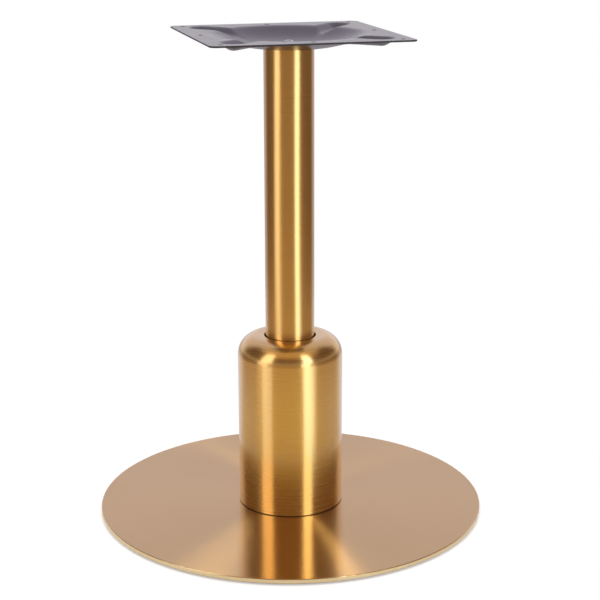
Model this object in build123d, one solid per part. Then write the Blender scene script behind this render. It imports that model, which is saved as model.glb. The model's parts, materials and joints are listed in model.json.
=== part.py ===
from build123d import *
import os
from math import sqrt

# Pedestal table base. Millimetres, +Z up, origin on the floor under the column's axis.

# Whole base
table_height = 720.0
base_diameter = 580.0
base_thickness = 7.0
base_edge_round = 1.2
base_under_chamfer = 1.0

# Column
column_diameter = 73.0
column_wall = 1.5
slide_fit = 0.15

# Sleeve round the foot of the column
sleeve_diameter = 157.0
sleeve_height = 261.0
sleeve_wall = 1.5
shoulder_radius = 29.0
neck_gap = 2.3
neck_edge_round = 0.5
gasket_thickness = 1.2
gasket_inset = 0.4

# Hub inside the sleeve
hub_flange_thickness = 8.0
hub_spigot_height = 35.0
hub_spigot_chamfer = 2.0
sleeve_fit = 0.5

# Countersunk screws that hold the hub to the disc
hub_screw_count = 4
hub_screw_circle_diameter = 110.0
hub_screw_diameter = 8.0
hub_screw_head_diameter = 16.0
hub_screw_head_depth = 4.4
hub_screw_end_gap = 1.0
hub_screw_key = 5.0
hub_screw_key_depth = 2.6
thread_clearance = 0.1
head_clearance = 0.1

# Glides pressed into the underside of the disc
glide_count = 6
glide_height = 2.5
glide_diameter = 24.0
glide_inset = 22.0
glide_edge_round = 0.8
glide_stem_diameter = 8.0
glide_stem_length = 4.5
glide_stem_end_gap = 0.5

# Tie rod with its nut and washer
rod_diameter = 8.0
rod_clearance = 0.5
rod_end_above_nut = 0.8
rod_end_chamfer = 0.6
nut_width = 13.0
nut_height = 5.0
nut_corner_drop = 0.6
washer_diameter = 24.0
washer_thickness = 1.6
plug_thickness = 12.0
plug_chamfer = 1.0

# Pressed top plate
plate_side = 290.0
plate_corner_radius = 10.0
plate_sheet = 2.5
dish_depth = 18.0
dish_floor_radius = 50.0
dish_side_flange = 41.0
dish_bend = 90.0
channel_depth = 7.0
channel_width = 44.0
channel_floor_width = 16.0
channel_end_inset = 25.0
channel_bend = 12.0
table_screw_hole = 7.0
table_screw_inset = 17.0

# Levels and radii that follow
disc_bottom = glide_height
disc_top = disc_bottom + base_thickness
hub_flange_top = disc_top + hub_flange_thickness
sleeve_bottom = disc_top + gasket_thickness
sleeve_top = sleeve_bottom + sleeve_height
sheet_bottom = table_height - plate_sheet
seat_top = table_height - dish_depth
seat_bottom = seat_top - plate_sheet
nut_bottom = seat_top + washer_thickness
nut_top = nut_bottom + nut_height
column_radius = column_diameter / 2
column_bore_radius = column_radius - column_wall
sleeve_radius = sleeve_diameter / 2
hub_flange_radius = sleeve_radius - sleeve_wall - sleeve_fit
rod_bore_radius = rod_diameter / 2 + thread_clearance
rod_pass_radius = rod_diameter / 2 + rod_clearance
hub_thread_radius = hub_screw_diameter / 2 + thread_clearance
table_screw_reach = plate_side / 2 - table_screw_inset


def rod(radius, bottom, top):
    """Upright cylinder on the column's axis between two levels."""
    return Pos(0, 0, bottom) * Cylinder(radius, top - bottom, align=(Align.CENTER, Align.CENTER, Align.MIN))


def top_edges(shape):
    return shape.edges().group_by(Axis.Z)[-1]


def bottom_edges(shape):
    return shape.edges().group_by(Axis.Z)[0]


def hub_screw_places():
    return PolarLocations(hub_screw_circle_diameter / 2, hub_screw_count, 360 / hub_screw_count / 2)


def glide_places():
    return PolarLocations(base_diameter / 2 - glide_inset, glide_count, 360 / glide_count / 2)


# Disc on the floor
def make_base_disc():
    disc = rod(base_diameter / 2, disc_bottom, disc_top)
    disc = fillet(top_edges(disc), base_edge_round)
    disc = chamfer(bottom_edges(disc), base_under_chamfer)
    stem_top = disc_bottom + glide_stem_length + glide_stem_end_gap
    disc -= glide_places() * rod(glide_stem_diameter / 2 + slide_fit, disc_bottom, stem_top)
    disc -= hub_screw_places() * rod(hub_thread_radius + slide_fit, disc_bottom, disc_top)
    disc -= hub_screw_places() * screw_head(head_clearance)
    return disc


def make_floor_glide():
    pad = fillet(bottom_edges(rod(glide_diameter / 2, 0, glide_height)), glide_edge_round)
    return pad + rod(glide_stem_diameter / 2, glide_height, glide_height + glide_stem_length)


# Hub and its screws
def screw_head(clearance):
    """Countersunk head, or the countersink for it where a clearance is added."""
    wide = hub_screw_head_diameter / 2 + clearance
    narrow = hub_screw_diameter / 2 + clearance
    head = Cone(wide, narrow, hub_screw_head_depth, align=(Align.CENTER, Align.CENTER, Align.MIN))
    return Pos(0, 0, disc_bottom) * head


def make_hub_screw():
    shank_bottom = disc_bottom + hub_screw_head_depth
    screw = screw_head(0)
    screw += rod(hub_screw_diameter / 2, shank_bottom, hub_flange_top - hub_screw_end_gap)
    key = extrude(RegularPolygon(hub_screw_key / 2, 6, major_radius=False), hub_screw_key_depth)
    return screw - Pos(0, 0, disc_bottom) * key


def make_column_hub():
    flange = rod(hub_flange_radius, disc_top, hub_flange_top)
    spigot = rod(column_bore_radius - slide_fit, hub_flange_top, hub_flange_top + hub_spigot_height)
    spigot = chamfer(top_edges(spigot), hub_spigot_chamfer)
    hub = flange + spigot
    hub -= rod(rod_bore_radius, disc_top, hub_flange_top + hub_spigot_height)
    hub -= hub_screw_places() * rod(hub_thread_radius, disc_top, hub_flange_top)
    return hub


# Column and sleeve
def make_column_tube():
    tube = rod(column_radius, hub_flange_top, seat_bottom)
    return tube - rod(column_bore_radius, hub_flange_top, seat_bottom)


def make_column_plug():
    plug = rod(column_bore_radius - slide_fit, seat_bottom - plug_thickness, seat_bottom)
    plug = chamfer(bottom_edges(plug), plug_chamfer)
    return plug - rod(rod_pass_radius, seat_bottom - plug_thickness, seat_bottom)


def make_sleeve():
    outside = rod(sleeve_radius, sleeve_bottom, sleeve_top)
    outside = fillet(top_edges(outside), shoulder_radius)
    inside = rod(sleeve_radius - sleeve_wall, sleeve_bottom, sleeve_top - sleeve_wall)
    inside = fillet(top_edges(inside), shoulder_radius - sleeve_wall)
    shell = outside - inside - rod(column_radius + neck_gap, sleeve_top - sleeve_wall, sleeve_top)
    neck_edge = top_edges(shell).sort_by(SortBy.RADIUS)[0]
    return fillet(neck_edge, neck_edge_round)


def make_sleeve_gasket():
    """Thin ring between the sleeve's foot and the disc, which shows as a dark line."""
    ring = rod(sleeve_radius - gasket_inset, disc_top, sleeve_bottom)
    return ring - rod(hub_flange_radius + slide_fit, disc_top, sleeve_bottom)


# Tie rod, washer and nut
def make_tie_rod():
    bar = rod(rod_diameter / 2, disc_top, nut_top + rod_end_above_nut)
    return chamfer(bar.edges().filter_by(GeomType.CIRCLE), rod_end_chamfer)


def make_tie_washer():
    return rod(washer_diameter / 2, seat_top, nut_bottom) - rod(rod_pass_radius, seat_top, nut_bottom)


def make_tie_nut():
    """Hexagon nut whose corners are turned off by a cone at both faces."""
    hexagon = extrude(RegularPolygon(nut_width / 2, 6, major_radius=False), nut_height)
    hexagon = Pos(0, 0, nut_bottom) * hexagon
    corner_radius = nut_width / sqrt(3)
    corner_cut = corner_radius - nut_width / 2
    turned = rod(corner_radius, nut_bottom, nut_top)
    rims = turned.edges().filter_by(GeomType.CIRCLE)
    turned = chamfer(rims, corner_cut * nut_corner_drop, corner_cut)
    return (hexagon & turned) - rod(rod_bore_radius, nut_bottom, nut_top)


# Pressed top plate
def dish_hollow():
    """Space inside the dish: flat floor, sloping wall and rounded bends, up to the flange's level."""
    mouth_radius = plate_side / 2 - dish_side_flange
    floor_edge = (dish_floor_radius, seat_top)
    mouth_edge = (mouth_radius, table_height)
    bends = FilletPolyline((0, seat_top), floor_edge, mouth_edge, (plate_side, table_height), radius=dish_bend)
    wall = bends.edges().sort_by(Axis.X)[:-1]
    rim = wall[-1] @ 1
    closing = Polyline(rim, (0, table_height), (0, seat_top))
    section = make_face(wall + closing.edges())
    return revolve(Plane.XZ * section, Axis.Z)


def channel_hollow():
    """Space inside one channel, which runs from corner to corner with sloping walls and a rounded floor."""
    end_reach = (plate_side / 2 - channel_end_inset) * sqrt(2)
    straight = 2 * end_reach - channel_width
    mouth = Pos(0, 0, table_height) * SlotCenterToCenter(straight, channel_width)
    floor = Pos(0, 0, table_height - channel_depth) * SlotCenterToCenter(straight, channel_floor_width)
    hollow = loft([mouth, floor])
    return fillet(bottom_edges(hollow), channel_bend)


def make_top_plate():
    hollows = [dish_hollow()] + [Rot(0, 0, turn) * channel_hollow() for turn in (45, -45)]
    outline = Pos(0, 0, sheet_bottom) * RectangleRounded(plate_side, plate_side, plate_corner_radius)
    plate = extrude(outline, plate_sheet)
    plate += [Pos(0, 0, -plate_sheet) * hollow for hollow in hollows]
    plate -= hollows
    plate -= rod(rod_pass_radius, seat_bottom, seat_top)
    hole = rod(table_screw_hole / 2, sheet_bottom, table_height)
    plate -= GridLocations(2 * table_screw_reach, 2 * table_screw_reach, 2, 2) * hole
    plate -= PolarLocations(table_screw_reach, 4) * hole
    return plate


nodes = {
    "base_disc": make_base_disc(),
    "column_hub": make_column_hub(),
    "hub_screws": Compound(hub_screw_places() * make_hub_screw()),
    "column_tube": make_column_tube(),
    "column_plug": make_column_plug(),
    "sleeve": make_sleeve(),
    "sleeve_gasket": make_sleeve_gasket(),
    "tie_rod": make_tie_rod(),
    "tie_washer": make_tie_washer(),
    "tie_nut": make_tie_nut(),
    "top_plate": make_top_plate(),
}
for number, place in enumerate(glide_places(), start=1):
    nodes[f"floor_glide_{number}"] = place * make_floor_glide()

os.makedirs("parts", exist_ok=True)
for name, shape in nodes.items():
    export_step(shape, f"parts/{name}.step")
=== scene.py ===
import json
import math
from collections import namedtuple

import bmesh
import bpy
from mathutils import Matrix, Vector


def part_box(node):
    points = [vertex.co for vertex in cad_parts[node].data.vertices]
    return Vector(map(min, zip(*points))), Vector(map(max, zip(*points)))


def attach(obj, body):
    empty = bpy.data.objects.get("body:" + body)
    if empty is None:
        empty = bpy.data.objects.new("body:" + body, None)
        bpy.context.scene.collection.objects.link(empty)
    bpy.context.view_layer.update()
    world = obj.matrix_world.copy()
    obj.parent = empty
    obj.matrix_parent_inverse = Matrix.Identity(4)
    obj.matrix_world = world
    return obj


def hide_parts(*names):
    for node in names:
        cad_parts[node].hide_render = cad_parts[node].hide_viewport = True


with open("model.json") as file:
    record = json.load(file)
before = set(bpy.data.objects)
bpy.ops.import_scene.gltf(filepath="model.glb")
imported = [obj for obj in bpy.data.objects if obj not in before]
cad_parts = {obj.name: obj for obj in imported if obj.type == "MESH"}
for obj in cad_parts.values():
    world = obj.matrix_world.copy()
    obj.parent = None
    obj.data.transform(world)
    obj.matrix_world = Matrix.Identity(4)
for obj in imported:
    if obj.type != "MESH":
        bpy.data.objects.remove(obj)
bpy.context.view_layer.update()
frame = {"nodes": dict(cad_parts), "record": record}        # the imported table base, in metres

# Camera, fitted to the photograph's 600 by 600 frame
IMAGE_PIXELS = 600
FOCAL_PIXELS = 1545.6
SENSOR_WIDTH_MM = 36.0
CAMERA_DISTANCE = 2.2201
CAMERA_HEIGHT = 0.945
CAMERA_TURN = math.radians(14.91)
CAMERA_YAW = math.radians(0.391)
CAMERA_PITCH = math.radians(15.608)
CAMERA_ROLL = math.radians(-0.132)

# Fixed directions: from the base towards the photograph's camera, to that camera's right, and up
TOWARDS_CAMERA = Vector((-math.sin(CAMERA_TURN), -math.cos(CAMERA_TURN), 0))
CAMERA_RIGHT = Vector((math.cos(CAMERA_TURN), -math.sin(CAMERA_TURN), 0))
UP = Vector((0, 0, 1))

# Shared by several materials
WHITE = (1, 1, 1)
NOISE_MIDDLE = (0.3, 0.7)        # most of a noise texture's values lie here
EDGE_TILT = (0.3, 0.7)           # a normal's upright part: below is a cut edge, above is a level face
MM_PER_M = 1000


def side_direction(azimuth):
    """Level direction, in degrees from the camera's side of the base to its right."""
    angle = math.radians(azimuth)
    return TOWARDS_CAMERA * math.cos(angle) + CAMERA_RIGHT * math.sin(angle)


def add_object(name, data):
    thing = bpy.data.objects.new(name, data)
    bpy.context.scene.collection.objects.link(thing)
    return thing


def make_camera():
    forward_flat = CAMERA_RIGHT * math.sin(CAMERA_YAW) - TOWARDS_CAMERA * math.cos(CAMERA_YAW)
    forward = forward_flat * math.cos(CAMERA_PITCH) - UP * math.sin(CAMERA_PITCH)
    right = forward.cross(UP).normalized()
    up = right.cross(forward)
    rolled_right = right * math.cos(CAMERA_ROLL) + up * math.sin(CAMERA_ROLL)
    rolled_up = up * math.cos(CAMERA_ROLL) - right * math.sin(CAMERA_ROLL)
    data = bpy.data.cameras.new("camera")
    data.sensor_width = SENSOR_WIDTH_MM
    data.lens = FOCAL_PIXELS * SENSOR_WIDTH_MM / IMAGE_PIXELS
    camera = add_object("camera", data)
    place = TOWARDS_CAMERA * CAMERA_DISTANCE + UP * CAMERA_HEIGHT
    axes = Matrix((rolled_right, rolled_up, -forward)).transposed()
    camera.matrix_world = Matrix.Translation(place) @ axes.to_4x4()
    bpy.context.scene.camera = camera


class Nodes:
    """Short calls for building one node tree."""

    def __init__(self, tree):
        self.tree = tree

    def add(self, kind, **settings):
        node = self.tree.nodes.new(kind)
        for name, value in settings.items():
            setattr(node, name, value)
        return node

    def put(self, socket, value):
        if isinstance(value, bpy.types.NodeSocket):
            self.tree.links.new(value, socket)
        else:
            socket.default_value = value

    def math(self, operation, *values):
        node = self.add("ShaderNodeMath", operation=operation)
        for socket, value in zip(node.inputs, values):
            self.put(socket, value)
        return node.outputs[0]

    def dot(self, vector, direction):
        node = self.add("ShaderNodeVectorMath", operation="DOT_PRODUCT")
        self.put(node.inputs[0], vector)
        node.inputs[1].default_value = direction
        return node.outputs["Value"]

    def split(self, vector):
        node = self.add("ShaderNodeSeparateXYZ")
        self.put(node.inputs[0], vector)
        return node.outputs

    def join(self, x, y, z):
        node = self.add("ShaderNodeCombineXYZ")
        for socket, value in zip(node.inputs, (x, y, z)):
            self.put(socket, value)
        return node.outputs[0]

    def length(self, x, y):
        x_square = self.math("MULTIPLY", x, x)
        y_square = self.math("MULTIPLY", y, y)
        return self.math("SQRT", self.math("ADD", x_square, y_square))

    def noise(self, vector, scale, detail=2.0):
        node = self.add("ShaderNodeTexNoise")
        self.put(node.inputs["Vector"], vector)
        node.inputs["Scale"].default_value = scale
        node.inputs["Detail"].default_value = detail
        return node.outputs["Fac"]

    def spread(self, value, source, result, smooth=False):
        """Maps the range source onto the range result, and holds its ends."""
        node = self.add("ShaderNodeMapRange", interpolation_type="SMOOTHSTEP" if smooth else "LINEAR")
        self.put(node.inputs["Value"], value)
        for name, number in zip(("From Min", "From Max", "To Min", "To Max"), (*source, *result)):
            node.inputs[name].default_value = number
        return node.outputs["Result"]

    def rise(self, value, source):
        return self.spread(value, source, (0, 1), smooth=True)

    def fall(self, value, source):
        return self.spread(value, source, (1, 0), smooth=True)

    def mix(self, share, a, b):
        node = self.add("ShaderNodeMix", data_type="RGBA")
        self.put(node.inputs["Factor"], share)
        self.put(node.inputs["A"], a if isinstance(a, bpy.types.NodeSocket) else (*a, 1))
        self.put(node.inputs["B"], b if isinstance(b, bpy.types.NodeSocket) else (*b, 1))
        return node.outputs["Result"]

    def noise_mix(self, noise, dark, light):
        return self.mix(self.spread(noise, NOISE_MIDDLE, (0, 1)), dark, light)

    def bump(self, height, strength, distance):
        node = self.add("ShaderNodeBump")
        node.inputs["Strength"].default_value = strength
        node.inputs["Distance"].default_value = distance
        self.put(node.inputs["Height"], height)
        return node.outputs["Normal"]

    def place(self):
        return self.add("ShaderNodeTexCoord").outputs["Object"]

    def camera_ray(self):
        return self.add("ShaderNodeLightPath").outputs["Is Camera Ray"]

    def across_rings(self, x, y, z):
        """Grows up a tube and inwards over a disc, so that noise along it is rings round the upright axis."""
        return self.math("SUBTRACT", z, self.length(x, y))

    def by_tilt(self, on_edges, on_level):
        """One value on cut edges and another on level faces, whichever way up they are."""
        normal = self.add("ShaderNodeNewGeometry").outputs["Normal"]
        upright = self.math("ABSOLUTE", self.split(normal)[2])
        return self.spread(upright, EDGE_TILT, (on_edges, on_level), smooth=True)

    def glow(self, strength, tint):
        node = self.add("ShaderNodeEmission")
        node.inputs["Color"].default_value = (*tint, 1)
        node.inputs["Strength"].default_value = strength
        return node.outputs[0]

    def blend(self, share, first, second):
        node = self.add("ShaderNodeMixShader")
        for socket, value in zip(node.inputs, (share, first, second)):
            self.put(socket, value)
        return node.outputs[0]


def new_material(name):
    material = bpy.data.materials.new(name)
    material.use_nodes = True
    return material, Nodes(material.node_tree), material.node_tree.nodes["Principled BSDF"]


def around(middle, reach):
    return (middle - reach, middle + reach)


# Brushed brass under clear lacquer
TUBE_DARK = (0.81, 0.50, 0.157)
TUBE_LIGHT = (0.88, 0.555, 0.178)
TUBE_STRETCH = 0.75
TUBE_LACQUER = 1.0
SLEEVE_ROUGHNESS = 0.26
COLUMN_ROUGHNESS = 0.29
DISC_DARK = (0.69, 0.446, 0.178)
DISC_LIGHT = (0.75, 0.492, 0.210)
# Paler, greyer colour on the disc's cut edge: a painted reflection of the pale floor beside the rim
DISC_RIM_PAINTED_REFLECTION = (0.74, 0.62, 0.40)
DISC_ROUGHNESS = 0.185
DISC_STRETCH = 1.0
DISC_LACQUER = 0.6
DISC_SEED = 0.0
SLEEVE_SEED = 3.7
COLUMN_SEED = 8.1
BRUSH_STROKES_PER_M = 5.0
BRUSH_LINES_PER_M = 2600.0
BRUSH_BANDS_PER_M = 600.0
BRUSH_LINES_SHARE = 0.75
BRUSH_TONE_SHARE = 0.7
BRUSH_HEIGHT = 0.00004
BRUSH_BUMP = 0.008
BRUSH_ROUGHNESS_RANGE = 0.02
STRETCH_TURN = 0.25              # a quarter turn, which stretches highlights across the rings
LACQUER_CLOUDS_PER_M = 9.0
LACQUER_ROUGHNESS = 0.16


def brushed_brass(name, dark, light, roughness, stretch, lacquer, seed, painted_edge_reflection=None):
    """Brushed in rings, so that highlights run across them: up the tubes and out along the disc."""
    material, nodes, shader = new_material(name)
    place = nodes.place()
    x, y, z = nodes.split(place)
    across = nodes.across_rings(x, y, z)
    stroke_x = nodes.math("MULTIPLY_ADD", x, BRUSH_STROKES_PER_M, seed)
    stroke_y = nodes.math("MULTIPLY", y, BRUSH_STROKES_PER_M)

    def rings(per_m):
        return nodes.noise(nodes.join(stroke_x, stroke_y, nodes.math("MULTIPLY", across, per_m)), 1.0)

    lines = nodes.math("MULTIPLY", rings(BRUSH_LINES_PER_M), BRUSH_LINES_SHARE)
    brushing = nodes.math("MULTIPLY_ADD", rings(BRUSH_BANDS_PER_M), 1 - BRUSH_LINES_SHARE, lines)
    clouds = nodes.noise(place, LACQUER_CLOUDS_PER_M)
    brush_tone = nodes.math("MULTIPLY", brushing, BRUSH_TONE_SHARE)
    tone = nodes.math("MULTIPLY_ADD", clouds, 1 - BRUSH_TONE_SHARE, brush_tone)
    colour = nodes.noise_mix(tone, dark, light)
    # cut edges take that paler colour, a painted reflection
    if painted_edge_reflection:
        colour = nodes.mix(nodes.by_tilt(0, 1), painted_edge_reflection, colour)
    nodes.put(shader.inputs["Base Color"], colour)
    rough = nodes.spread(brushing, NOISE_MIDDLE, around(roughness, BRUSH_ROUGHNESS_RANGE))
    nodes.put(shader.inputs["Roughness"], rough)
    nodes.put(shader.inputs["Normal"], nodes.bump(brushing, BRUSH_BUMP, BRUSH_HEIGHT))
    round_axis = nodes.add("ShaderNodeTangent", direction_type="RADIAL", axis="Z")
    nodes.put(shader.inputs["Tangent"], round_axis.outputs[0])
    shader.inputs["Metallic"].default_value = 1.0
    shader.inputs["Anisotropic"].default_value = stretch
    shader.inputs["Anisotropic Rotation"].default_value = STRETCH_TURN
    shader.inputs["Coat Weight"].default_value = lacquer
    shader.inputs["Coat Roughness"].default_value = LACQUER_ROUGHNESS
    return material


# Powder coat of the top plate
PAINT_DARK = (0.026, 0.024, 0.030)
PAINT_LIGHT = (0.032, 0.029, 0.036)
PAINT_SHINE_TINT = (1.0, 0.93, 0.96, 1)
PAINT_MOTTLE_PER_M = 45.0
PAINT_MOTTLE_DETAIL = 4.0
PAINT_ROUGHNESS = (0.19, 0.23)
PAINT_EDGE_ROUGHNESS = 0.45      # added on cut edges
PAINT_GLAZE = 0.15
PAINT_GLAZE_ROUGHNESS = 0.2
PEEL_PER_M = 900.0
PEEL_BUMP = 0.05
PEEL_HEIGHT = 0.0001


def powder_coat():
    """Nearly black satin paint with the fine orange peel of a sprayed powder."""
    material, nodes, shader = new_material("grey_powder_coat")
    place = nodes.place()
    peel = nodes.noise(place, PEEL_PER_M)
    mottle = nodes.noise(place, PAINT_MOTTLE_PER_M, PAINT_MOTTLE_DETAIL)
    nodes.put(shader.inputs["Base Color"], nodes.noise_mix(mottle, PAINT_DARK, PAINT_LIGHT))
    satin = nodes.spread(mottle, NOISE_MIDDLE, PAINT_ROUGHNESS)
    rough = nodes.math("ADD", nodes.by_tilt(PAINT_EDGE_ROUGHNESS, 0), satin)
    nodes.put(shader.inputs["Roughness"], rough)
    nodes.put(shader.inputs["Normal"], nodes.bump(peel, PEEL_BUMP, PEEL_HEIGHT))
    shader.inputs["Coat Weight"].default_value = PAINT_GLAZE
    shader.inputs["Coat Roughness"].default_value = PAINT_GLAZE_ROUGHNESS
    shader.inputs["Specular Tint"].default_value = PAINT_SHINE_TINT
    return material


# Turned steel and zinc-plated hardware
STEEL_DARK = (0.40, 0.40, 0.41)
STEEL_LIGHT = (0.52, 0.52, 0.53)
STEEL_RINGS_PER_M = 1800.0
STEEL_ROUGHNESS = 0.35
ZINC_DARK = (0.70, 0.71, 0.74)
ZINC_LIGHT = (0.84, 0.85, 0.86)
ZINC_RINGS_PER_M = 2400.0
ZINC_ROUGHNESS = 0.24
METAL_CLOUDS_PER_M = 300.0
METAL_CLOUD_DETAIL = 4.0
METAL_ROUGHNESS_RANGE = 0.06
METAL_BUMP = 0.15
METAL_RING_HEIGHT = 0.00005


def turned_metal(name, dark, light, rings_per_m, roughness):
    """Steel with the fine rings that turning or rolling leaves, and cloudy plating."""
    material, nodes, shader = new_material(name)
    place = nodes.place()
    across = nodes.across_rings(*nodes.split(place))
    rings = nodes.noise(nodes.join(0.0, 0.0, nodes.math("MULTIPLY", across, rings_per_m)), 1.0)
    clouds = nodes.noise(place, METAL_CLOUDS_PER_M, METAL_CLOUD_DETAIL)
    nodes.put(shader.inputs["Base Color"], nodes.noise_mix(clouds, dark, light))
    rough = nodes.spread(rings, NOISE_MIDDLE, around(roughness, METAL_ROUGHNESS_RANGE))
    nodes.put(shader.inputs["Roughness"], rough)
    nodes.put(shader.inputs["Normal"], nodes.bump(rings, METAL_BUMP, METAL_RING_HEIGHT))
    shader.inputs["Metallic"].default_value = 1.0
    return material


# Black rubber and nylon
# Gasket rubber, tinted brown-black: real rubber whose dark ring also stands in for the shade in the gap under
# the sleeve's foot
RUBBER_AND_FOOT_SHADE_DARK = (0.009, 0.007, 0.005)
RUBBER_AND_FOOT_SHADE_LIGHT = (0.020, 0.016, 0.012)
RUBBER_GRAIN_PER_M = 1500.0
RUBBER_ROUGHNESS = 0.7
NYLON_DARK = (0.016, 0.016, 0.017)
NYLON_LIGHT = (0.032, 0.032, 0.034)
NYLON_GRAIN_PER_M = 900.0
NYLON_ROUGHNESS = 0.5
GRAIN_DETAIL = 3.0
GRAIN_ROUGHNESS_RANGE = 0.08
GRAIN_BUMP = 0.2
GRAIN_HEIGHT = 0.0001
MOULDED_SHINE = 0.1


def moulded_black(name, dark, light, grain_per_m, roughness):
    """Black nylon or rubber with a fine moulded grain."""
    material, nodes, shader = new_material(name)
    grain = nodes.noise(nodes.place(), grain_per_m, GRAIN_DETAIL)
    nodes.put(shader.inputs["Base Color"], nodes.noise_mix(grain, dark, light))
    rough = nodes.spread(grain, NOISE_MIDDLE, around(roughness, GRAIN_ROUGHNESS_RANGE))
    nodes.put(shader.inputs["Roughness"], rough)
    nodes.put(shader.inputs["Normal"], nodes.bump(grain, GRAIN_BUMP, GRAIN_HEIGHT))
    shader.inputs["Specular IOR Level"].default_value = MOULDED_SHINE
    return material


# Pressed top plate
PLATE_CORNER_RADIUS = 0.010
PLATE_EDGE_ROUND = 0.0004
DISH_FLOOR_RADIUS = 0.0365
DISH_LIP_RADIUS = 0.110
DISH_LIP_ROUND = 0.0025
CHANNEL_DEPTH = 0.0085
CHANNEL_FLOOR_HALF = 0.002
CHANNEL_LIP_HALF = 0.022
CHANNEL_HALF_STRAIGHT = 0.1477
PRESSING_BLEND = 5
ROD_CLEARANCE = 0.0005
SIDE_STEPS = 72
CORNER_STEPS = 8
PLATE_RINGS = 66
HOLE_STEPS = 32
HOLE_CUTTER_SHEETS = 2           # the cutter's height, in thicknesses of the sheet
SHARP_EDGE = math.radians(35)


def smooth_rise(value, low, high):
    share = min(max((value - low) / (high - low), 0), 1)
    return share * share * (3 - 2 * share)


def pressing_depth(x, y, dish_depth):
    """How deep the sheet is pressed at a point: a round dish and two channels, blended where they meet."""
    out = max(math.hypot(x, y) - DISH_FLOOR_RADIUS, 0) / (DISH_LIP_RADIUS - DISH_FLOOR_RADIUS)
    bowl = dish_depth * (1 - out * out)
    depths = [(bowl + math.hypot(bowl, DISH_LIP_ROUND)) / 2]
    for along, across in ((x + y, x - y), (x - y, x + y)):
        past_end = max(abs(along) / math.sqrt(2) - CHANNEL_HALF_STRAIGHT, 0)
        from_middle = math.hypot(across / math.sqrt(2), past_end)
        depths.append(CHANNEL_DEPTH * (1 - smooth_rise(from_middle, CHANNEL_FLOOR_HALF, CHANNEL_LIP_HALF)))
    return sum(depth ** PRESSING_BLEND for depth in depths) ** (1 / PRESSING_BLEND)


def plate_outline(half, inset):
    """Points round a square with rounded corners, drawn in by inset."""
    points = []
    radius = PLATE_CORNER_RADIUS
    straight = half - radius
    for quarter in range(4):
        turn = Matrix.Rotation(math.radians(90 * quarter), 2)
        for i in range(SIDE_STEPS):
            points.append(turn @ Vector((half - inset, straight * (2 * i / SIDE_STEPS - 1))))
        for i in range(CORNER_STEPS):
            angle = math.radians(90 * i / CORNER_STEPS)
            corner = Vector((math.cos(angle), math.sin(angle))) * (radius - inset)
            points.append(turn @ (corner + Vector((straight, straight))))
    return points


def bridge(builder, lower, upper):
    count = len(lower)
    for i in range(count):
        j = (i + 1) % count
        builder.faces.new((lower[i], lower[j], upper[j], upper[i]))


def finish_mesh(name, builder):
    bmesh.ops.recalc_face_normals(builder, faces=builder.faces)
    mesh = bpy.data.meshes.new(name)
    builder.to_mesh(mesh)
    builder.free()
    mesh.shade_smooth()
    mesh.set_sharp_from_angle(angle=SHARP_EDGE)
    return mesh


def screw_hole_places():
    """Centres and radius of the plate's screw holes, from the record's two bolt patterns."""
    mounts = {mount["name"]: mount["dims"] for mount in frame["record"]["mounts"]}
    corner = mounts["table_screws_corner"]
    half_x = corner["spacing_x_mm"] / 2 / MM_PER_M
    half_y = corner["spacing_y_mm"] / 2 / MM_PER_M
    side = mounts["table_screws_side"]["pcd_mm"] / 2 / MM_PER_M
    places = [(sx * half_x, sy * half_y) for sx in (-1, 1) for sy in (-1, 1)]
    places += [(side, 0), (-side, 0), (0, side), (0, -side)]
    return places, corner["hole_r_mm"] / MM_PER_M


def cut_screw_holes(plate, bottom, top):
    places, radius = screw_hole_places()
    builder = bmesh.new()
    for x, y in places:
        middle = Matrix.Translation((x, y, (bottom + top) / 2))
        bmesh.ops.create_cone(builder, cap_ends=True, segments=HOLE_STEPS, radius1=radius, radius2=radius,
                              depth=HOLE_CUTTER_SHEETS * (top - bottom), matrix=middle)
    cutter = add_object("hole_cutter", finish_mesh("hole_cutter", builder))
    cut = plate.modifiers.new("holes", "BOOLEAN")
    cut.object = cutter
    shown = plate.evaluated_get(bpy.context.evaluated_depsgraph_get())
    plate.data = bpy.data.meshes.new_from_object(shown)
    plate.modifiers.clear()
    bpy.data.objects.remove(cutter)


def make_pressed_plate():
    """The plate as a smooth pressed sheet, with rounded lips that the plain solid lacks."""
    low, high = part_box("top_plate")
    half = high.x
    top = high.z
    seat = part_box("tie_washer")[0].z
    sheet = seat - low.z
    hole_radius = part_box("tie_rod")[1].x + ROD_CLEARANCE
    builder = bmesh.new()

    def ring(points, drop):
        levels = [top - pressing_depth(p.x, p.y, top - seat) - drop for p in points]
        return [builder.verts.new((p.x, p.y, level)) for p, level in zip(points, levels)]

    edge = plate_outline(half, PLATE_EDGE_ROUND)
    rings = []
    for step in range(PLATE_RINGS + 1):
        share = step / PLATE_RINGS
        rings.append([p.normalized() * hole_radius * (1 - share) + p * share for p in edge])
    outer = plate_outline(half, 0)
    upper = [ring(points, 0) for points in rings]
    lower = [ring(points, sheet) for points in rings]
    rim = [ring(outer, PLATE_EDGE_ROUND), ring(outer, sheet - PLATE_EDGE_ROUND)]
    loops = upper + rim + lower[::-1]
    for first, second in zip(loops, loops[1:] + loops[:1]):
        bridge(builder, first, second)
    plate = add_object("pressed_plate", finish_mesh("pressed_plate", builder))
    cut_screw_holes(plate, top - sheet, top)
    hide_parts("top_plate")
    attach(plate, "root")
    return plate


# Tie rod with its thread
THREAD_PITCH = 0.00125
THREAD_DEPTH = 0.0006
THREAD_STEPS = 8
ROD_SEGMENTS = 48
ROD_END_CHAMFER = 0.0006


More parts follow.
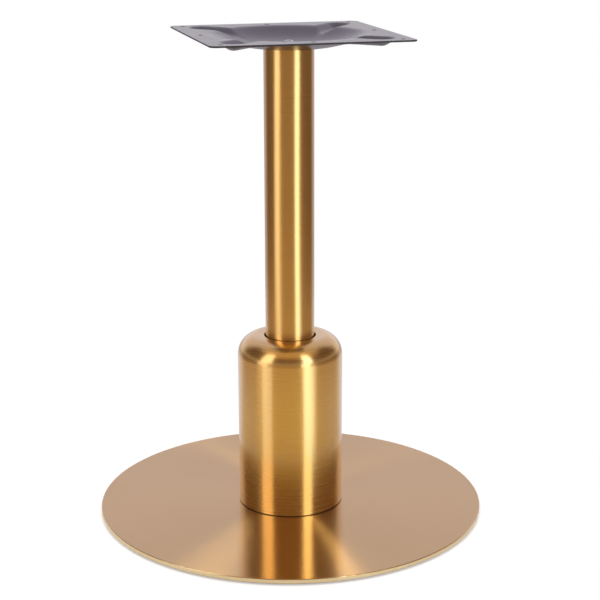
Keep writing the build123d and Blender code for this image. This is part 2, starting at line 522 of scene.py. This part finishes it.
def make_threaded_rod():
    """The tie rod with a cut thread where it comes up through the plate, and a plain shank below."""
    low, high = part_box("tie_rod")
    radius = high.x
    thread_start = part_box("top_plate")[0].z
    builder = bmesh.new()

    def ring(level, reach):
        angles = [2 * math.pi * i / ROD_SEGMENTS for i in range(ROD_SEGMENTS)]
        return [builder.verts.new((reach(a) * math.cos(a), reach(a) * math.sin(a), level)) for a in angles]

    def shank(angle):
        return radius

    def groove(level):
        """Reach of the thread at a level: a triangle wave that climbs one pitch for each turn."""
        end_limit = radius - max(ROD_END_CHAMFER - (high.z - level), 0)

        def reach(angle):
            turn = (level / THREAD_PITCH - angle / (2 * math.pi)) % 1
            return min(radius - THREAD_DEPTH * abs(2 * turn - 1), end_limit)
        return reach

    steps = round((high.z - thread_start) / THREAD_PITCH * THREAD_STEPS)
    loops = [ring(low.z, shank), ring(thread_start, shank)]
    for i in range(1, steps + 1):
        level = thread_start + (high.z - thread_start) * i / steps
        loops.append(ring(level, groove(level)))
    for first, second in zip(loops, loops[1:]):
        bridge(builder, first, second)
    builder.faces.new(loops[0])
    builder.faces.new(loops[-1])
    rod = add_object("threaded_rod", finish_mesh("threaded_rod", builder))
    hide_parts("tie_rod")
    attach(rod, "root")
    return rod


# Materials on the pieces
def dress(material, *objects):
    for thing in objects:
        thing.data.materials.clear()
        thing.data.materials.append(material)


def brass_tube(name, roughness, seed):
    return brushed_brass(name, TUBE_DARK, TUBE_LIGHT, roughness, TUBE_STRETCH, TUBE_LACQUER, seed)


def dress_nodes(plate, rod):
    nodes = frame["nodes"]
    disc = brushed_brass("brass_disc", DISC_DARK, DISC_LIGHT, DISC_ROUGHNESS, DISC_STRETCH, DISC_LACQUER,
                         DISC_SEED, painted_edge_reflection=DISC_RIM_PAINTED_REFLECTION)
    dress(disc, nodes["base_disc"])
    dress(brass_tube("brass_sleeve", SLEEVE_ROUGHNESS, SLEEVE_SEED), nodes["sleeve"])
    dress(brass_tube("brass_column_tube", COLUMN_ROUGHNESS, COLUMN_SEED), nodes["column_tube"])
    dress(powder_coat(), plate)
    steel = turned_metal("turned_steel", STEEL_DARK, STEEL_LIGHT, STEEL_RINGS_PER_M, STEEL_ROUGHNESS)
    dress(steel, nodes["column_hub"], nodes["column_plug"])
    zinc = turned_metal("zinc_plate", ZINC_DARK, ZINC_LIGHT, ZINC_RINGS_PER_M, ZINC_ROUGHNESS)
    dress(zinc, nodes["hub_screws"], nodes["tie_washer"], nodes["tie_nut"], rod)
    rubber = moulded_black("rubber_gasket_and_foot_shade", RUBBER_AND_FOOT_SHADE_DARK, RUBBER_AND_FOOT_SHADE_LIGHT, RUBBER_GRAIN_PER_M, RUBBER_ROUGHNESS)
    # the gasket's dark ring is real rubber and also painted shade at the sleeve's foot
    dress(rubber, nodes["sleeve_gasket"])
    nylon = moulded_black("nylon_glide", NYLON_DARK, NYLON_LIGHT, NYLON_GRAIN_PER_M, NYLON_ROUGHNESS)
    dress(nylon, *(thing for name, thing in nodes.items() if name.startswith("floor_glide")))


# Softboxes, which the tubes mirror as bright strips; their radiance and tint also paint glowing pools of
# light on the floor; the first four values are in degrees
Softbox = namedtuple("Softbox", "azimuth half_width foot_turn right_fade radiance body_ratio tint")
LEFT_SOFTBOX = Softbox(-52.5, 12.5, -8.5, 2.0, 1.10, 1.5, (1.0, 0.98, 0.98))
RIGHT_SOFTBOX = Softbox(39.0, 9.5, -5.5, 17.0, 2.2, 1.4, (0.74, 0.86, 1.0))
SOFTBOX_DISTANCE = 1.8
SOFTBOX_FOOT = (-0.2, 0.4)
SOFTBOX_BODY = (0.4, 2.4)

# Floor: its tones as the metal mirrors them, by direction and by distance from the column. These tones are
# painted light and shade on the floor: a bright ring round the disc, warm in front, pale behind, darker far
# out
FLOOR_RADIUS = 1.25
FLOOR_SEGMENTS = 96
FLOOR_ROUGHNESS = 0.9
FLOOR_FRONT = (0.53, 0.46, 0.225)
FLOOR_FRONT_SIDE = (0.1, 0.75)
FLOOR_SIDES = (0.47, 0.43, 0.37)
FLOOR_BEHIND = (0.62, 0.64, 0.68)
FLOOR_BEHIND_SIDE = (0.35, 0.80)
# painted light: a near-white ring on the floor round the disc, which the rim mirrors
FLOOR_RIM_PAINTED_LIGHT = (0.80, 0.76, 0.66)
FLOOR_RIM_RADII = (0.31, 0.36)
# painted shade: the floor darker far out
FLOOR_FAR_PAINTED_SHADE = (0.37, 0.245, 0.145)
FLOOR_FAR_RADII = (0.58, 0.98)
POOL_FADE = 2.0
POOL_START_RADII = (0.315, 0.36)
POOL_ORIGIN_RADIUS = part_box("sleeve")[1].x

# What the camera sees of the floor: the lit shadow near the disc, and plain white further out
SHADOW_RADII = (0.285, 0.55)
WHITE_SHARES = (0.45, 1.0)


def painted_light_pool(nodes, place, softbox):
    """Share of a softbox's painted glow at a place on the floor, a painted pool of its light: a sector from
    the sleeve to the lamp's foot.
    """
    origin = side_direction(softbox.azimuth / 2) * POOL_ORIGIN_RADIUS
    to_lamp = side_direction(softbox.azimuth)
    sideways = side_direction(softbox.azimuth + 90)
    ahead = nodes.math("SUBTRACT", nodes.dot(place, to_lamp), origin.dot(to_lamp))
    across = nodes.math("SUBTRACT", nodes.dot(place, sideways), origin.dot(sideways))
    turn = nodes.math("ARCTAN2", across, ahead)
    half_width = softbox.half_width
    left = (math.radians(-half_width - POOL_FADE), math.radians(-half_width + POOL_FADE))
    right = (math.radians(half_width - POOL_FADE), math.radians(half_width + softbox.right_fade))
    return nodes.math("MULTIPLY", nodes.rise(turn, left), nodes.fall(turn, right))


def mirrored_floor_painted_light(nodes, place, radius):
    """The floor's colour for rays that come off the metal: painted light and shade by direction and distance.
    """
    towards = nodes.math("DIVIDE", nodes.dot(place, TOWARDS_CAMERA), radius)
    near = nodes.mix(nodes.rise(towards, FLOOR_FRONT_SIDE), FLOOR_SIDES, FLOOR_FRONT)
    near = nodes.mix(nodes.rise(radius, FLOOR_RIM_RADII), FLOOR_RIM_PAINTED_LIGHT, near)
    colour = nodes.mix(nodes.rise(radius, FLOOR_FAR_RADII), near, FLOOR_FAR_PAINTED_SHADE)
    behind = nodes.rise(nodes.math("MULTIPLY", towards, -1.0), FLOOR_BEHIND_SIDE)
    return nodes.mix(behind, colour, FLOOR_BEHIND)


def make_floor():
    """Floor that the camera sees as white, with the base's soft shadow near the disc."""
    turns = [2 * math.pi * i / FLOOR_SEGMENTS for i in range(FLOOR_SEGMENTS)]
    points = [(FLOOR_RADIUS * math.cos(a), FLOOR_RADIUS * math.sin(a), 0) for a in turns]
    mesh = bpy.data.meshes.new("floor")
    mesh.from_pydata(points, [], [list(range(FLOOR_SEGMENTS))])
    floor = add_object("floor", mesh)
    material, nodes, surface = new_material("pale_floor")
    seen = nodes.camera_ray()
    place = nodes.place()
    radius = nodes.length(*nodes.split(place)[:2])
    nodes.put(surface.inputs["Base Color"], nodes.mix(seen, mirrored_floor_painted_light(nodes, place, radius), WHITE))
    surface.inputs["Roughness"].default_value = FLOOR_ROUGHNESS
    shown = surface.outputs[0]
    unseen = nodes.math("SUBTRACT", 1.0, seen)
    # for rays off the metal, the floor glows in painted pools of the softboxes' light beyond the disc
    lit = nodes.math("MULTIPLY", unseen, nodes.rise(radius, POOL_START_RADII))
    for softbox in (LEFT_SOFTBOX, RIGHT_SOFTBOX):
        pool = nodes.math("MULTIPLY", lit, painted_light_pool(nodes, place, softbox))
        shown = nodes.blend(pool, shown, nodes.glow(softbox.radiance, softbox.tint))
    white_share = nodes.spread(radius, SHADOW_RADII, WHITE_SHARES, smooth=True)
    shown = nodes.blend(nodes.math("MULTIPLY", seen, white_share), shown, nodes.glow(1.0, WHITE))
    nodes.put(material.node_tree.nodes["Material Output"].inputs["Surface"], shown)
    mesh.materials.append(material)


# Studio round the base, as the metal mirrors it; edges and tops are parts of a direction, from -1 to 1
HORIZON = (-0.02, 0.02)
ROOM_FRONT = (0.12, 0.07, 0.055)
ROOM_FRONT_SIDE = (0.30, 0.80)
ROOM_SIDES = (0.13, 0.08, 0.06)
ROOM_LOW = (0.45, 0.39, 0.35)
ROOM_LOW_TOP = (0.12, 0.25)
FAR_FLOOR = (0.32, 0.21, 0.13)
OVERHEAD = (0.50, 0.43, 0.40)
OVERHEAD_EDGE = (0.70, 0.84)
CEILING = (0.62, 0.43, 0.22)
CEILING_EDGE = (0.50, 0.80)
CEILING_FRONT = (0.0, 0.3)
BACKDROP = (0.64, 0.60, 0.72)
BACKDROP_EDGE = (0.45, 0.80)
BACKDROP_TOP = (0.94, 1.0)
BACKDROP_LOW = (0.80, 0.77, 0.82)
BACKDROP_LOW_TOP = (0.12, 0.48)
BACKDROP_FOOT = (0.50, 0.46, 0.50)


def make_world():
    """A dim room with a pale backdrop behind the base; the camera itself sees white."""
    world = bpy.data.worlds.new("studio")
    bpy.context.scene.world = world
    world.use_nodes = True
    nodes = Nodes(world.node_tree)
    direction = nodes.add("ShaderNodeTexCoord").outputs["Generated"]
    towards = nodes.dot(direction, TOWARDS_CAMERA)
    height = nodes.dot(direction, UP)
    level = nodes.length(towards, nodes.dot(direction, CAMERA_RIGHT))
    level_towards = nodes.math("DIVIDE", towards, level)
    below = nodes.fall(height, HORIZON)
    front = nodes.rise(level_towards, ROOM_FRONT_SIDE)
    room = nodes.mix(front, ROOM_SIDES, nodes.mix(below, ROOM_FRONT, FAR_FLOOR))
    low_band = nodes.math("SUBTRACT", nodes.fall(height, ROOM_LOW_TOP), below)
    room = nodes.mix(low_band, room, ROOM_LOW)
    room = nodes.mix(nodes.rise(height, OVERHEAD_EDGE), room, OVERHEAD)
    over_front = nodes.math("MULTIPLY", nodes.rise(height, CEILING_EDGE), nodes.rise(towards, CEILING_FRONT))
    room = nodes.mix(over_front, room, CEILING)
    backdrop = nodes.mix(nodes.fall(height, BACKDROP_LOW_TOP), BACKDROP, BACKDROP_LOW)
    backdrop = nodes.mix(below, backdrop, BACKDROP_FOOT)
    behind = nodes.rise(nodes.math("MULTIPLY", level_towards, -1.0), BACKDROP_EDGE)
    under_top = nodes.fall(height, BACKDROP_TOP)
    room = nodes.mix(nodes.math("MULTIPLY", behind, under_top), room, backdrop)
    shown = nodes.mix(nodes.camera_ray(), room, WHITE)
    nodes.put(world.node_tree.nodes["Background"].inputs["Color"], shown)


# Lamps; a spot's ray azimuth is in degrees, and its bend is how far it moves along the ray's direction
Spot = namedtuple("Spot", "ray_azimuth bend size radiance tint")
RIGHT_SPOT = Spot(21.0, 0.36, 0.08, 110.0, (1, 0.80, 0.42))
LEFT_SPOT = Spot(-31.0, 0.30, 0.30, 5.0, (1, 0.88, 0.60))
SPOT_DISTANCE = 2.0
RAY_MIDDLE = 0.2
VIEW_RISE = math.radians(22)     # the camera's height over the front of the disc
FILL_RADIANCE = 4.3
FILL_SIZE = 2.0
FILL_HEIGHT = 2.4


def area_lamp(name, place, aim, width, tall, radiance, tint=WHITE):
    data = bpy.data.lights.new(name, "AREA")
    data.shape = "RECTANGLE"
    data.size = width
    data.size_y = tall
    data.energy = radiance * math.pi * width * tall
    data.color = tint
    lamp = add_object(name, data)
    lamp.location = place
    lamp.rotation_euler = aim.to_track_quat("-Z", "Y").to_euler()
    lamp.visible_camera = False
    return lamp


def make_softbox(name, softbox):
    """Upright lamp that faces the base, with a foot of its own at the floor's level."""
    width = 2 * SOFTBOX_DISTANCE * math.tan(math.radians(softbox.half_width))
    foot = ("foot", SOFTBOX_FOOT, softbox.azimuth + softbox.foot_turn, softbox.radiance)
    body = ("body", SOFTBOX_BODY, softbox.azimuth, softbox.radiance * softbox.body_ratio)
    for part, (bottom, top), azimuth, radiance in (foot, body):
        side = side_direction(azimuth)
        place = side * SOFTBOX_DISTANCE + UP * (bottom + top) / 2
        area_lamp(name + "_" + part, place, -side, width, top - bottom, radiance, softbox.tint)


def make_spot(name, spot):
    """Small lamp high behind the base, which lights the disc alone and draws a bright ray along its front."""
    ray = side_direction(spot.ray_azimuth)
    level = ray * spot.bend - TOWARDS_CAMERA * math.cos(VIEW_RISE)
    to_lamp = level + UP * math.sqrt(1 - level.length_squared)
    place = ray * RAY_MIDDLE + to_lamp * SPOT_DISTANCE
    lamp = area_lamp(name, place, -to_lamp, spot.size, spot.size, spot.radiance, spot.tint)
    reach = bpy.data.collections.new(name + "_reach")
    reach.objects.link(frame["nodes"]["base_disc"])
    lamp.light_linking.receiver_collection = reach
    lamp.light_linking.blocker_collection = reach


def make_lamps():
    make_softbox("left_softbox", LEFT_SOFTBOX)
    make_softbox("right_softbox", RIGHT_SOFTBOX)
    make_spot("right_spot", RIGHT_SPOT)
    make_spot("left_spot", LEFT_SPOT)
    fill = area_lamp("top_fill", UP * FILL_HEIGHT, -UP, FILL_SIZE, FILL_SIZE, FILL_RADIANCE)
    fill.visible_glossy = False


make_camera()
dress_nodes(make_pressed_plate(), make_threaded_rod())
make_floor()
make_world()
make_lamps()
bpy.context.scene.view_settings.view_transform = "Standard"
